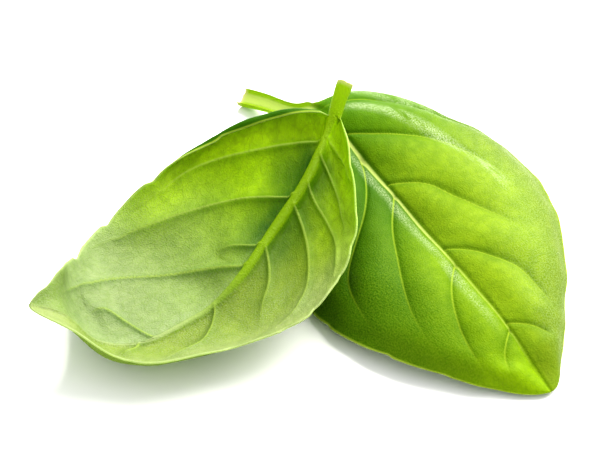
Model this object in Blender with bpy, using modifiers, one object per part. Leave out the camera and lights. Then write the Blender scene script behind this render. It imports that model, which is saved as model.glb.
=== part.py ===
"""Basil bunch: two cut sweet-basil leaves lying together, as a Blender 4.5 model.

One leaf lies with its underside up, a shallow bowl on its belly. The other lies with its upper side up, domed over
the table, and the first leaf's stalk end leans on it. Each leaf grew as one piece: blade, midrib and petiole.

Frame: metres, +Z up. The origin is on the table, under the middle of the bunch's box. +X runs to the leaf that lies
upper side up, and -Y runs towards the blade tips.
"""
import bmesh
import bpy
import numpy as np

MM = 0.001
BUNCH = "basil_bunch"

# Every length below is in millimetres and every angle in degrees.
# A leaf's axis is its midrib, as a smooth curve through a few points, from the petiole's cut end to the blade's tip.
# Its place along the blade is t: 0 at the base, 1 at the tip, and less than 0 on the petiole.
# Across the axis lie section planes. "turn" gives their yaw, pitch and roll at even steps from the base to the tip, and
# "petiole_turn" gives them at the petiole's cut end.
# Each half of the blade has a greatest width, two powers that shape its outline towards the base and the tip, and
# "fold" and "curl": the angles at which its section leaves the midrib and reaches the margin, at even steps of t.
# "roll" is how far the last ROLL_BAND of the margin rolls over besides. "tip_radius" rounds the tip.
# "upper_face" is 1 where the leaf's own upper face looks up, and -1 where it looks down.
UNDERSIDE_UP_LEAF = {
    "name": "leaf_underside_up",
    "colour": (0.36, 0.52, 0.10),
    "roughness": 0.55,
    "upper_face": -1,
    "petiole_axis": [(5.4, 15.9, 14.2), (4.6, 14.2, 12.7)],
    "blade_axis": [(4.0, 12.7, 11.0), (0.8, 3.3, 6.8), (-4.3, -4.8, 4.4), (-8.9, -12.1, 1.6), (-15.2, -17.1, -1.2),
                   (-22.7, -22.3, -0.2), (-27.5, -23.1, 2.0), (-30.4, -22.9, 6.0), (-34.8, -22.2, 7.9)],
    "blade_length": 61.0,
    "tip_radius": 1.5,
    "turn": [(-154, -22, 3), (-143, -35, 1), (-140, -20, 7), (-149, 2, 10), (-174, 26, -1)],
    "petiole_turn": (-107, -42, 0),
    "left": {"width": 17.3, "to_base": 0.30, "to_tip": 0.71,
             "fold": (7, -5, 13, 15), "curl": (57, 34, 30, 23), "roll": (0, 0, 0, 0)},
    "right": {"width": 22.5, "to_base": 0.72, "to_tip": 0.82,
              "fold": (6, -8, 7, 9), "curl": (86, 28, 35, 46), "roll": (67, 167, 116, 12, 12, 0, 0)},
}
UPPER_SIDE_UP_LEAF = {
    "name": "leaf_upper_side_up",
    "colour": (0.16, 0.36, 0.03),
    "roughness": 0.35,
    "upper_face": 1,
    "petiole_axis": [(-9.2, 30.0, 1.6), (-6.1, 27.4, 2.6), (-3.9, 24.6, 3.8), (-1.2, 21.6, 5.4)],
    "blade_axis": [(0.3, 19.8, 7.2), (7.7, 10.5, 6.2), (16.8, -7.0, 6.0), (25.4, -22.2, 4.8), (30.5, -30.2, 0.8)],
    "blade_length": 59.0,
    "tip_radius": 3.2,
    "turn": [(-39, -20, -3), (-52, -11, 1), (-59, -37, -1)],
    "petiole_turn": (-44, 23, 32),
    "left": {"width": 23.1, "to_base": 0.48, "to_tip": 0.85,
             "fold": (18, 17, 14), "curl": (-57, -34, -50), "roll": (0, 0, 0)},
    "right": {"width": 20.2, "to_base": 0.64, "to_tip": 0.72,
              "fold": (19, 18, 15), "curl": (-50, -46, -41), "roll": (0, 0, 0)},
}

# The petiole is a thick strip, bent into a gutter that opens on the leaf's upper face
PETIOLE_HALF_WIDTH = 1.1
PETIOLE_CORE_HALF_WIDTH = 0.75
PETIOLE_FOLD = 15
PETIOLE_CURL = 80
PETIOLE_ENDS_AT = 0.12
TURN_SPREAD = 0.05
GUTTER_OPENS_FROM = -0.05
GUTTER_OPENS_BY = 0.012
ROLL_BAND = 3.0

# Thickness: the blade, and the midrib that stands on its underside and thins towards the tip. On the petiole the
# midrib is its core.
BLADE_THICKNESS = 0.4
MIDRIB_HEIGHT = 1.25
MIDRIB_HEIGHT_AT_TIP = 0.15
MIDRIB_HALF_WIDTH = 1.0
MIDRIB_HALF_WIDTH_AT_TIP = 0.35

# Rows of vertices along the petiole and the blade, and columns on each side of the midrib
PETIOLE_ROWS = 7
BLADE_ROWS = 47
SIDE_COLUMNS = 17
LAST_T = 0.9985
AXIS_STEPS = 600
SECTION_STEPS = 120


def spline(knots, values, places):
    """Values at the places, read from the natural cubic spline through the knots."""
    knots = np.asarray(knots, float)
    values = np.asarray(values, float).reshape(len(knots), -1)
    count = len(knots)
    gaps = np.diff(knots)
    matrix = np.eye(count)
    right_side = np.zeros_like(values)
    for k in range(1, count - 1):
        matrix[k, k - 1:k + 2] = gaps[k - 1], 2 * (gaps[k - 1] + gaps[k]), gaps[k]
        rise_after = (values[k + 1] - values[k]) / gaps[k]
        rise_before = (values[k] - values[k - 1]) / gaps[k - 1]
        right_side[k] = 6 * (rise_after - rise_before)
    bend = np.linalg.solve(matrix, right_side)
    span = np.clip(np.searchsorted(knots, places, side="right") - 1, 0, count - 2)
    after = (places - knots[span])[:, None]
    before = (knots[span + 1] - places)[:, None]
    gap = gaps[span][:, None]
    cubic = (bend[span] * before ** 3 + bend[span + 1] * after ** 3) / (6 * gap)
    line_in = (values[span] / gap - bend[span] * gap / 6) * before
    line_out = (values[span + 1] / gap - bend[span + 1] * gap / 6) * after
    return cubic + line_in + line_out


def keyed(values, t):
    """Evenly spaced key values over the blade, read at t, and held on the petiole."""
    return spline(np.linspace(0, 1, len(values)), values, np.clip(t, 0, 1))


def smooth_step(low, high, x):
    x = np.clip((x - low) / (high - low), 0, 1)
    return x * x * (3 - 2 * x)


def axis_of(leaf):
    """The leaf's axis as close points, and the t of each."""
    points = np.array(leaf["petiole_axis"] + leaf["blade_axis"], float)
    chords = np.concatenate([[0], np.cumsum(np.linalg.norm(np.diff(points, axis=0), axis=1))])
    base = chords[len(leaf["petiole_axis"])]
    places = np.concatenate([np.linspace(0, base, AXIS_STEPS), np.linspace(base, chords[-1], AXIS_STEPS)[1:]])
    axis = spline(chords, points, places)
    run = np.concatenate([[0], np.cumsum(np.linalg.norm(np.diff(axis, axis=0), axis=1))])
    base_run = run[AXIS_STEPS - 1]
    return axis, (run - base_run) / (run[-1] - base_run)


def section_frames(leaf, t):
    """For each t, the section plane's direction to the leaf's right and its direction up."""
    petiole_part = smooth_step(-TURN_SPREAD, TURN_SPREAD, -t)[:, None]
    angles = keyed(leaf["turn"], t) * (1 - petiole_part) + np.array(leaf["petiole_turn"]) * petiole_part
    yaw, pitch, roll = np.radians(angles).T
    ahead = np.stack([np.cos(yaw) * np.cos(pitch), np.sin(yaw) * np.cos(pitch), np.sin(pitch)], -1)
    level = np.stack([np.sin(yaw), -np.cos(yaw), np.zeros_like(yaw)], -1)
    upright = np.cross(level, ahead)
    cos_roll = np.cos(roll)[:, None]
    sin_roll = np.sin(roll)[:, None]
    return level * cos_roll - upright * sin_roll, upright * cos_roll + level * sin_roll


def half_width(leaf, side, t):
    """Half-width of one side of the leaf, measured along its section."""
    half = leaf[side]
    to_base = half["to_base"]
    to_tip = half["to_tip"]
    widest = to_base / (to_base + to_tip)
    inside = np.clip(t, 0, 1)
    blade = inside ** to_base * (1 - inside) ** to_tip
    blade *= half["width"] / (widest ** to_base * (1 - widest) ** to_tip)
    petiole = PETIOLE_HALF_WIDTH * (1 - smooth_step(0, PETIOLE_ENDS_AT, t))
    from_tip = (1 - t) * leaf["blade_length"]
    radius = leaf["tip_radius"]
    blunt_tip = np.sqrt(np.clip(radius ** 2 - (from_tip - radius) ** 2, 0, None))
    return np.cbrt(blade ** 3 + petiole ** 3 + blunt_tip ** 3)


def half_sheet(leaf, side, t, across):
    """Points of one half of the leaf's upper face: a row for each t, a column for each step across."""
    half = leaf[side]
    sign = 1 if side == "right" else -1
    right, up = section_frames(leaf, t)
    axis, axis_t = axis_of(leaf)
    middle = np.stack([np.interp(t, axis_t, axis[:, k]) for k in range(3)], -1)
    width = half_width(leaf, side, t)[:, None]
    opened = smooth_step(GUTTER_OPENS_FROM, GUTTER_OPENS_BY, t)[:, None]
    fold = leaf["upper_face"] * PETIOLE_FOLD * (1 - opened) + keyed(half["fold"], t) * opened
    curl = leaf["upper_face"] * PETIOLE_CURL * (1 - opened) + keyed(half["curl"], t) * opened
    step_middles = (np.arange(SECTION_STEPS) + 0.5) / SECTION_STEPS
    in_band = smooth_step(0, 1, 1 - (1 - step_middles) * width / ROLL_BAND)
    angle = np.radians(fold + (curl - fold) * step_middles + keyed(half["roll"], t) * opened * in_band)
    sideways = np.cumsum(np.cos(angle), axis=1) * width / SECTION_STEPS
    upwards = np.cumsum(np.sin(angle), axis=1) * width / SECTION_STEPS
    steps = np.linspace(0, 1, SECTION_STEPS + 1)
    sheet = np.zeros((len(t), len(across), 3))
    for row in range(len(t)):
        out = np.interp(across, steps, np.concatenate([[0], sideways[row]]))
        rise = np.interp(across, steps, np.concatenate([[0], upwards[row]]))
        sheet[row] = middle[row] + out[:, None] * right[row] * sign + rise[:, None] * up[row]
    return sheet


def leaf_sheet(leaf):
    """The whole upper face from margin to margin, and the leaf's thickness at each of its points."""
    axis_t = axis_of(leaf)[1]
    petiole_t = np.linspace(axis_t[0], 0, PETIOLE_ROWS)[:-1]
    blade_turns = np.linspace(0, np.pi, BLADE_ROWS)
    blade_t = LAST_T * (0.5 - 0.5 * np.cos(blade_turns))
    t = np.concatenate([petiole_t, blade_t])
    even = np.linspace(0, 1, SIDE_COLUMNS + 1)
    across = 0.75 * smooth_step(0, 1, even) + 0.25 * even
    left = half_sheet(leaf, "left", t, across)
    right = half_sheet(leaf, "right", t, across)
    sheet = np.concatenate([left[:, :0:-1], right], axis=1)
    from_midrib = np.concatenate([half_width(leaf, "left", t)[:, None] * across[:0:-1],
                                  half_width(leaf, "right", t)[:, None] * across], axis=1)
    blade_part = np.clip(t, 0, 1)[:, None]
    opened = smooth_step(GUTTER_OPENS_FROM, GUTTER_OPENS_BY, t)[:, None]
    ridge_height = MIDRIB_HEIGHT + (MIDRIB_HEIGHT_AT_TIP - MIDRIB_HEIGHT) * blade_part
    ridge_width = MIDRIB_HALF_WIDTH + (MIDRIB_HALF_WIDTH_AT_TIP - MIDRIB_HALF_WIDTH) * blade_part
    ridge_width = PETIOLE_CORE_HALF_WIDTH * (1 - opened) + ridge_width * opened
    thickness = BLADE_THICKNESS + ridge_height * np.exp(-(from_midrib / ridge_width) ** 3)
    return sheet, thickness


def leaf_material(leaf):
    material = bpy.data.materials.new(leaf["name"])
    material.use_nodes = True
    shader = material.node_tree.nodes["Principled BSDF"]
    shader.inputs["Base Color"].default_value = (*leaf["colour"], 1)
    shader.inputs["Roughness"].default_value = leaf["roughness"]
    shader.inputs["Metallic"].default_value = 0
    return material


def add_leaf(leaf, collection):
    """One leaf: a grid bent into its upper face, and given its thickness towards its underside."""
    sheet, thickness = leaf_sheet(leaf)
    rows, columns = thickness.shape
    grid = bmesh.new()
    bmesh.ops.create_grid(grid, x_segments=columns - 1, y_segments=rows - 1, size=1)
    thickest = thickness.max()
    weight_layer = grid.verts.layers.deform.new()
    for vertex in grid.verts:
        column = round((vertex.co.x + 1) / 2 * (columns - 1))
        row = round((vertex.co.y + 1) / 2 * (rows - 1))
        vertex[weight_layer][0] = thickness[row, column] / thickest
        x, y, z = sheet[row, column]
        # The belly is pressed flat where it rests on the table
        vertex.co = (x * MM, y * MM, max(z, 0) * MM)
    if leaf["upper_face"] < 0:
        bmesh.ops.reverse_faces(grid, faces=grid.faces[:])
    mesh = bpy.data.meshes.new(leaf["name"])
    grid.to_mesh(mesh)
    grid.free()
    mesh.shade_smooth()
    mesh.materials.append(leaf_material(leaf))
    thing = bpy.data.objects.new(leaf["name"], mesh)
    collection.objects.link(thing)
    thing.vertex_groups.new(name="thickness")
    solidify = thing.modifiers.new("thickness", "SOLIDIFY")
    solidify.thickness = thickest * MM
    solidify.offset = -1
    solidify.vertex_group = "thickness"
    return thing


def main():
    for old in list(bpy.data.objects):
        bpy.data.objects.remove(old, do_unlink=True)
    collection = bpy.data.collections.new(BUNCH)
    bpy.context.scene.collection.children.link(collection)
    for leaf in (UNDERSIDE_UP_LEAF, UPPER_SIDE_UP_LEAF):
        add_leaf(leaf, collection)


main()
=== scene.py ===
"""Basil bunch: the looks of two cut sweet-basil leaves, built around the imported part.

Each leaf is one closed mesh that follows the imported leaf's form: its upper face and underside with midrib,
side veins, swellings between them, teeth and rolled margin, and its petiole with the cut end. Metres, +Z up,
as in the part.
"""
import math
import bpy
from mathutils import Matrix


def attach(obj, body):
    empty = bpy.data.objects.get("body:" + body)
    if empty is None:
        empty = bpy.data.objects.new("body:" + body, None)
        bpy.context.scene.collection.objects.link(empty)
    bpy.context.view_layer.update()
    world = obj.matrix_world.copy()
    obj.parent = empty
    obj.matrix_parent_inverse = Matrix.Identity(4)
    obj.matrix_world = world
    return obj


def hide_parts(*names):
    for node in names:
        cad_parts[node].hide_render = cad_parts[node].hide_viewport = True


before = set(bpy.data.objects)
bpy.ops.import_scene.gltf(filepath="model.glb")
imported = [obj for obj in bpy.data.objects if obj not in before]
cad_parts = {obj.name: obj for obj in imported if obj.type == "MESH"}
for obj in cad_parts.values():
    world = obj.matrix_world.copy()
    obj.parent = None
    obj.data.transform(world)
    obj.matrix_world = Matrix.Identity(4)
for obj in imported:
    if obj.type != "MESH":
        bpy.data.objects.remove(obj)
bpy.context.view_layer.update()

from types import SimpleNamespace

import bpy
import numpy as np
from mathutils import Vector
from mathutils.kdtree import KDTree

MM = 0.001

# ---- The leaves' forms, as in the part ----
# Lengths are in millimetres and angles in degrees. A place along a leaf is t: 0 at the blade's base, 1 at its
# tip, and less than 0 on the petiole. A place across one half is c: 0 at the midrib, 1 at the margin. Left
# and right are the leaf's own, seen on its upper face with the tip ahead.
# "upper_face" is 1 where that face lies up, and -1 where the underside does. "turn" holds the blade's yaw,
# pitch and roll, and "fold", "curl" and "roll" a half's angles at the midrib, at the margin and in the last
# band before it, all at even steps from the base to the tip. "width" is a half's greatest width, and
# "to_base" and "to_tip" set how it tapers. "veins" are the side veins of a half, from the base on: each is a
# few (t, c) points, from where it leaves the midrib to where it fades. "teeth" are (t, depth) of the notch
# behind each tooth.
UNDERSIDE_UP_LEAF = {
    "node": "leaf_underside_up",
    "slot": "leaf_underside",
    "upper_face": -1,
    "petiole_axis": [(5.4, 15.9, 14.2), (4.6, 14.2, 12.7)],
    "blade_axis": [
        (4.0, 12.7, 11.0), (0.8, 3.3, 6.8), (-4.3, -4.8, 4.4), (-8.9, -12.1, 1.6), (-15.2, -17.1, -1.2),
        (-22.7, -22.3, -0.2), (-27.5, -23.1, 2.0), (-30.4, -22.9, 6.0), (-34.8, -22.2, 7.9),
    ],
    "blade_length": 61.0,
    "tip_radius": 1.5,
    "turn": [(-154, -22, 3), (-143, -35, 1), (-140, -20, 7), (-149, 2, 10), (-174, 26, -1)],
    "petiole_turn": (-107, -42, 0),
    "petiole_radius": 0.95,
    "bulge": 1.0,
    "left": {
        "width": 17.3, "to_base": 0.30, "to_tip": 0.71,
        "fold": (7, -5, 13, 15), "curl": (57, 34, 30, 23), "roll": (0, 0, 0, 0),
        "teeth": [
            (0.14, 0.3), (0.22, 0.35), (0.30, 0.35), (0.415, 0.45), (0.50, 0.4), (0.615, 0.5), (0.815, 0.4),
        ],
        "veins": [
            [(0.055, 0), (0.06, 0.38), (0.075, 0.74), (0.10, 0.9)],
            [(0.105, 0), (0.13, 0.30), (0.15, 0.48), (0.175, 0.60), (0.22, 0.74)],
            [(0.18, 0), (0.21, 0.23), (0.225, 0.48), (0.25, 0.73), (0.28, 0.85), (0.34, 0.92)],
            [(0.245, 0), (0.27, 0.20), (0.32, 0.48), (0.405, 0.74), (0.485, 0.84), (0.57, 0.90)],
            [(0.36, 0), (0.42, 0.25), (0.465, 0.37), (0.50, 0.50), (0.53, 0.66)],
            [(0.53, 0), (0.575, 0.23), (0.63, 0.48), (0.685, 0.56), (0.78, 0.62)],
            [(0.73, 0), (0.76, 0.16), (0.80, 0.30)],
        ],
    },
    "right": {
        "width": 22.5, "to_base": 0.72, "to_tip": 0.82,
        "fold": (6, -8, 7, 9), "curl": (86, 28, 35, 46), "roll": (67, 167, 116, 12, 12, 0, 0),
        "teeth": [(0.225, 0.4), (0.405, 0.5), (0.56, 0.5), (0.745, 0.5), (0.965, 0.5)],
        "veins": [
            [(0.06, 0), (0.12, 0.35), (0.19, 0.57), (0.26, 0.71), (0.38, 0.85), (0.52, 0.96)],
            [(0.225, 0), (0.27, 0.23), (0.36, 0.52), (0.46, 0.73), (0.58, 0.89), (0.68, 0.97)],
            [(0.365, 0), (0.39, 0.13), (0.415, 0.24), (0.44, 0.32)],
            [(0.42, 0), (0.475, 0.24), (0.575, 0.47), (0.665, 0.66), (0.73, 0.73), (0.84, 0.73),
             (0.94, 0.52)],
            [(0.69, 0), (0.705, 0.12), (0.73, 0.37), (0.79, 0.48)],
        ],
    },
}
UPPER_SIDE_UP_LEAF = {
    "node": "leaf_upper_side_up",
    "slot": "leaf_upper_side",
    "upper_face": 1,
    "petiole_axis": [(-9.2, 30.0, 1.6), (-6.1, 27.4, 2.6), (-3.9, 24.6, 3.8), (-1.2, 21.6, 5.4)],
    "blade_axis": [
        (0.3, 19.8, 7.2), (7.7, 10.5, 6.2), (16.8, -7.0, 6.0), (25.4, -22.2, 4.8), (30.5, -30.2, 0.8),
    ],
    "blade_length": 59.0,
    "tip_radius": 3.2,
    "turn": [(-39, -20, -3), (-52, -11, 1), (-59, -37, -1)],
    "petiole_turn": (-44, 23, 32),
    "petiole_radius": 1.15,
    "bulge": 1.05,
    "left": {
        "width": 23.1, "to_base": 0.48, "to_tip": 0.85,
        "fold": (18, 17, 14), "curl": (-57, -34, -50), "roll": (0, 0, 0),
        "teeth": [(0.31, 0.2), (0.46, 0.2), (0.52, 0.25), (0.68, 0.15)],
        "veins": [
            [(0.03, 0), (0.06, 0.3), (0.12, 0.62), (0.20, 0.82), (0.32, 0.92)],
            [(0.13, 0), (0.18, 0.20), (0.225, 0.37), (0.29, 0.55), (0.38, 0.64), (0.50, 0.70)],
            [(0.30, 0), (0.355, 0.17), (0.44, 0.28), (0.525, 0.41), (0.585, 0.51), (0.66, 0.60)],
            [(0.565, 0), (0.615, 0.16), (0.66, 0.27), (0.71, 0.4), (0.76, 0.5), (0.83, 0.66), (0.88, 0.76)],
            [(0.82, 0), (0.845, 0.24), (0.865, 0.41), (0.90, 0.6)],
        ],
    },
    "right": {
        "width": 20.2, "to_base": 0.64, "to_tip": 0.72,
        "fold": (19, 18, 15), "curl": (-50, -46, -41), "roll": (0, 0, 0),
        "teeth": [(0.42, 0.2), (0.56, 0.2), (0.745, 0.25), (0.86, 0.2)],
        "veins": [
            [(0.06, 0), (0.10, 0.35), (0.20, 0.66), (0.32, 0.85)],
            [(0.21, 0), (0.28, 0.15), (0.35, 0.31), (0.48, 0.65), (0.59, 0.77), (0.70, 0.88)],
            [(0.345, 0), (0.42, 0.17), (0.52, 0.31), (0.63, 0.47), (0.70, 0.58), (0.80, 0.74)],
            [(0.625, 0), (0.68, 0.17), (0.74, 0.31), (0.81, 0.46), (0.86, 0.58), (0.92, 0.75)],
            [(0.84, 0), (0.88, 0.25), (0.93, 0.5)],
        ],
    },
}

# The petiole: a round cord with a groove along its upper side, which runs on into the midrib. Its two faces
# meet under the groove's lips, PETIOLE_SPAN degrees round from its lowest line.
PETIOLE_SPAN = 105
PETIOLE_SINK = 0.45
PETIOLE_RIM = 0.12
PETIOLE_LIP = 0.22
PETIOLE_LIP_INSET = 0.04
PETIOLE_LIP_FROM = 0.8
PETIOLE_FLARE = 0.18
PETIOLE_FLARE_FROM = 0.3
GROOVE_DEPTH = 0.62
GROOVE_FLAT = 0.25
GROOVE_EDGE = 0.88
GROOVE_SPREAD = 0.8
PETIOLE_ENDS_AT = 0.12
# The blade's turn passes into the petiole's within TURN_SPREAD of t = 0. The blade's faces pass into the
# cord's from CORD_BLENDS_BY down to CORD_BLENDS_FROM, and start CORD_RUNS_ON further out beside the midrib.
TURN_SPREAD = 0.05
CORD_BLENDS_FROM = -0.02
CORD_BLENDS_BY = 0.03
CORD_RUNS_ON = 0.09
CORD_RUNS_ON_WITHIN = (0.9, 1.8)
# The torn cut end: heights and turns of its waves, its lip, and how much each of the last rows takes
TEARS = ((0.07, 7), (0.03, 19))
TORN_LIP = {"height": 0.25, "place": 0.72, "width": 0.22}
TORN_ROWS = (1.0, 0.55, 0.2)
TORN_UNDERSIDE = {"tear": 0.8, "lip": 0.7}
CUT_HOLLOW = 0.12

# Width of the last band before the margin, where "roll" turns it
ROLL_BAND = 3.0

# Thickness of the blade inside and at the margin, and the midrib that stands on the underside
BLADE_THICKNESS = 0.32
MARGIN_THICKNESS = 0.22
MARGIN_THINS_WITHIN = 0.6
MIDRIB_HEIGHT = 1.25
MIDRIB_HEIGHT_AT_TIP = 0.15
MIDRIB_HALF_WIDTH = 1.0
MIDRIB_HALF_WIDTH_AT_TIP = 0.35

# Relief of the blade
VEIN_RIDGE = 0.44
VEIN_GROOVE = 0.26
VEIN_HALF_WIDTH = 0.27
VEIN_LEAST_WIDTH = 0.55
RIDGES_START_WITHIN = 0.5
RIDGES_LOSE = 0.4
MIDRIB_GROOVE = 0.30
MIDRIB_GROOVE_LOSES = 0.6
MIDRIB_GROOVE_HALF_WIDTH = 0.45
MIDRIB_GROOVE_NARROWS = 0.5
LEAST_THICKNESS = 0.12
LARGEST_GROOVE = 0.9
# Along a side vein, from 0 at its start to 1 at its end
VEIN_STARTS = (-0.12, 0.0)
VEIN_FADES_TO = 0.4
VEIN_ENDS = (0.6, 1.05)
VEIN_RUNS_ON = 0.5
# Vein numbers reach END_NUMBER beyond the first and last vein's, at these distances in c from those veins
END_NUMBER = 0.49
BEYOND_MARGIN = 1.02
BEYOND_FIRST_VEIN = 0.3
BEHIND_LAST_VEIN = 0.5
LEAST_STEP = 1e-3
LARGEST_PITCH = 30
# Swelling between the veins
BULGE_REACH = 2.6
BULGE_SHARPNESS = 1.2
BULGE_HELD_DOWN = 1.5
BULGE_SINK = 0.45
BULGE_AT_MARGIN = 0.35
MARGIN_REACH = 2.5
# Heights and lengths of the slow unevenness, and of the ripple along the margin
UNEVEN = ((0.14, 12), (0.03, 5))
RIPPLE = (0.12, 7)
RIPPLE_REACH = 2.2
WAVE_COUNT = 7
WAVE_STRETCH = (0.7, 1.5)
WAVES_HEIGHT = 3
RELIEF_STARTS_BY = 0.12
RELIEF_ENDS_FROM = 0.93
TOOTH_RISE = 3.5
TOOTH_FALL = 1.4
NARROWEST_TOOTHED = 2
TOOTH_SHARPNESS = 4
RIM_BULGE = 0.09
FLOOR_SOFTNESS = 0.35

# The mesh: rows along the leaf, and columns across each half
ROWS = 366
ROW_STEP_ON_PETIOLE = 0.21
SIDE_COLUMNS = 66
EVEN_ROWS = 0.8
EVEN_COLUMNS = 0.6
LAST_T = 0.9997
AXIS_STEPS = 900
SECTION_STEPS = 400
SMOOTHING_ROUNDS = 4
FACE_UPPER = 0
FACE_UNDER = 1
FACE_CUT = 2


# ---- Curves and sections, as in the part ----
def spline(knots, values, places):
    """Values at the places, read from the natural cubic spline through the knots."""
    knots = np.asarray(knots, float)
    values = np.asarray(values, float).reshape(len(knots), -1)
    count = len(knots)
    gaps = np.diff(knots)
    matrix = np.eye(count)
    right_side = np.zeros_like(values)
    for k in range(1, count - 1):
        matrix[k, k - 1:k + 2] = gaps[k - 1], 2 * (gaps[k - 1] + gaps[k]), gaps[k]
        rise_after = (values[k + 1] - values[k]) / gaps[k]
        rise_before = (values[k] - values[k - 1]) / gaps[k - 1]
        right_side[k] = 6 * (rise_after - rise_before)
    bend = np.linalg.solve(matrix, right_side)
    span = np.clip(np.searchsorted(knots, places, side="right") - 1, 0, count - 2)
    after = (places - knots[span])[:, None]
    before = (knots[span + 1] - places)[:, None]
    gap = gaps[span][:, None]
    cubic = (bend[span] * before ** 3 + bend[span + 1] * after ** 3) / (6 * gap)
    line_in = (values[span] / gap - bend[span] * gap / 6) * before
    line_out = (values[span + 1] / gap - bend[span + 1] * gap / 6) * after
    return cubic + line_in + line_out


def keyed(values, t):
    """Evenly spaced key values over the blade, read at t, and held on the petiole."""
    return spline(np.linspace(0, 1, len(values)), values, np.clip(t, 0, 1))


def smooth_step(low, high, x):
    x = np.clip((x - low) / (high - low), 0, 1)
    return x * x * (3 - 2 * x)


def along_axis(leaf, t):
    """The leaf's axis at each t, and the t of its petiole's end."""
    axis, axis_t = axis_of(leaf)
    return np.stack([np.interp(t, axis_t, axis[:, k]) for k in range(3)], -1), axis_t[0]


def axis_of(leaf):
    """The leaf's axis as close points, and the t of each."""
    points = np.array(leaf["petiole_axis"] + leaf["blade_axis"], float)
    chords = np.concatenate([[0], np.cumsum(np.linalg.norm(np.diff(points, axis=0), axis=1))])
    base = chords[len(leaf["petiole_axis"])]
    places = np.concatenate([np.linspace(0, base, AXIS_STEPS), np.linspace(base, chords[-1], AXIS_STEPS)[1:]])
    axis = spline(chords, points, places)
    run = np.concatenate([[0], np.cumsum(np.linalg.norm(np.diff(axis, axis=0), axis=1))])
    base_run = run[AXIS_STEPS - 1]
    return axis, (run - base_run) / (run[-1] - base_run)


def plane_of(angles):
    """For yaw, pitch and roll in degrees, the section plane's directions to the leaf's right and up."""
    yaw, pitch, roll = np.radians(angles).T
    ahead = np.stack([np.cos(yaw) * np.cos(pitch), np.sin(yaw) * np.cos(pitch), np.sin(pitch)], -1)
    level = np.stack([np.sin(yaw), -np.cos(yaw), np.zeros_like(yaw)], -1)
    upright = np.cross(level, ahead)
    cos_roll = np.cos(roll)[:, None]
    sin_roll = np.sin(roll)[:, None]
    return level * cos_roll - upright * sin_roll, upright * cos_roll + level * sin_roll


def between(start, end, part):
    return start + (end - start) * part


def bump_at(x, width, power):
    """1 at 0, falling to both sides."""
    return np.exp(-(x / width) ** power)


def unit(vectors):
    return vectors / np.maximum(np.linalg.norm(vectors, axis=-1, keepdims=True), 1e-9)


def notches(half, leaf, t):
    """How far the margin is cut back at each t, behind its teeth."""
    depth = np.zeros_like(t)
    for place, notch in half["teeth"]:
        beyond = (t - place) * leaf["blade_length"]
        rising = np.clip(1 + beyond / TOOTH_RISE, 0, 1) ** 2
        falling = 1 - smooth_step(0, TOOTH_FALL, beyond)
        depth -= notch * np.where(beyond < 0, rising, falling)
    return depth


def half_width(leaf, side, t):
    """Half-width of one side of the leaf, measured along its section."""
    half = leaf[side]
    to_base = half["to_base"]
    to_tip = half["to_tip"]
    widest = to_base / (to_base + to_tip)
    inside = np.clip(t, 0, 1)
    blade = inside ** to_base * (1 - inside) ** to_tip
    blade *= half["width"] / (widest ** to_base * (1 - widest) ** to_tip)
    petiole = leaf["petiole_radius"] * math.radians(PETIOLE_SPAN) * (1 - smooth_step(0, PETIOLE_ENDS_AT, t))
    from_tip = (1 - t) * leaf["blade_length"]
    radius = leaf["tip_radius"]
    blunt_tip = np.sqrt(np.clip(radius ** 2 - (from_tip - radius) ** 2, 0, None))
    return np.cbrt(blade ** 3 + petiole ** 3 + blunt_tip ** 3)


def half_sheet(leaf, side, t, across):
    """Points of one half of the leaf's upper face: a row for each t, a column for each step across."""
    half = leaf[side]
    sign = 1 if side == "right" else -1
    right, up = plane_of(keyed(leaf["turn"], t))
    middle = along_axis(leaf, t)[0]
    width = half_width(leaf, side, t)[:, None]
    fold = keyed(half["fold"], t)
    curl = keyed(half["curl"], t)
    step_middles = (np.arange(SECTION_STEPS) + 0.5) / SECTION_STEPS
    in_band = smooth_step(0, 1, 1 - (1 - step_middles) * width / ROLL_BAND)
    angle = np.radians(fold + (curl - fold) * step_middles + keyed(half["roll"], t) * in_band)
    sideways = np.cumsum(np.cos(angle), axis=1) * width / SECTION_STEPS
    upwards = np.cumsum(np.sin(angle), axis=1) * width / SECTION_STEPS
    steps = np.linspace(0, 1, SECTION_STEPS + 1)
    reach = 1 + notches(half, leaf, t) / np.maximum(width[:, 0], NARROWEST_TOOTHED)
    sheet = np.zeros((len(t), len(across), 3))
    for row in range(len(t)):
        at = across * (1 - (1 - reach[row]) * across ** TOOTH_SHARPNESS)
        out = np.interp(at, steps, np.concatenate([[0], sideways[row]]))
        rise = np.interp(at, steps, np.concatenate([[0], upwards[row]]))
        sheet[row] = middle[row] + out[:, None] * right[row] * sign + rise[:, None] * up[row]
    return sheet


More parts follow.
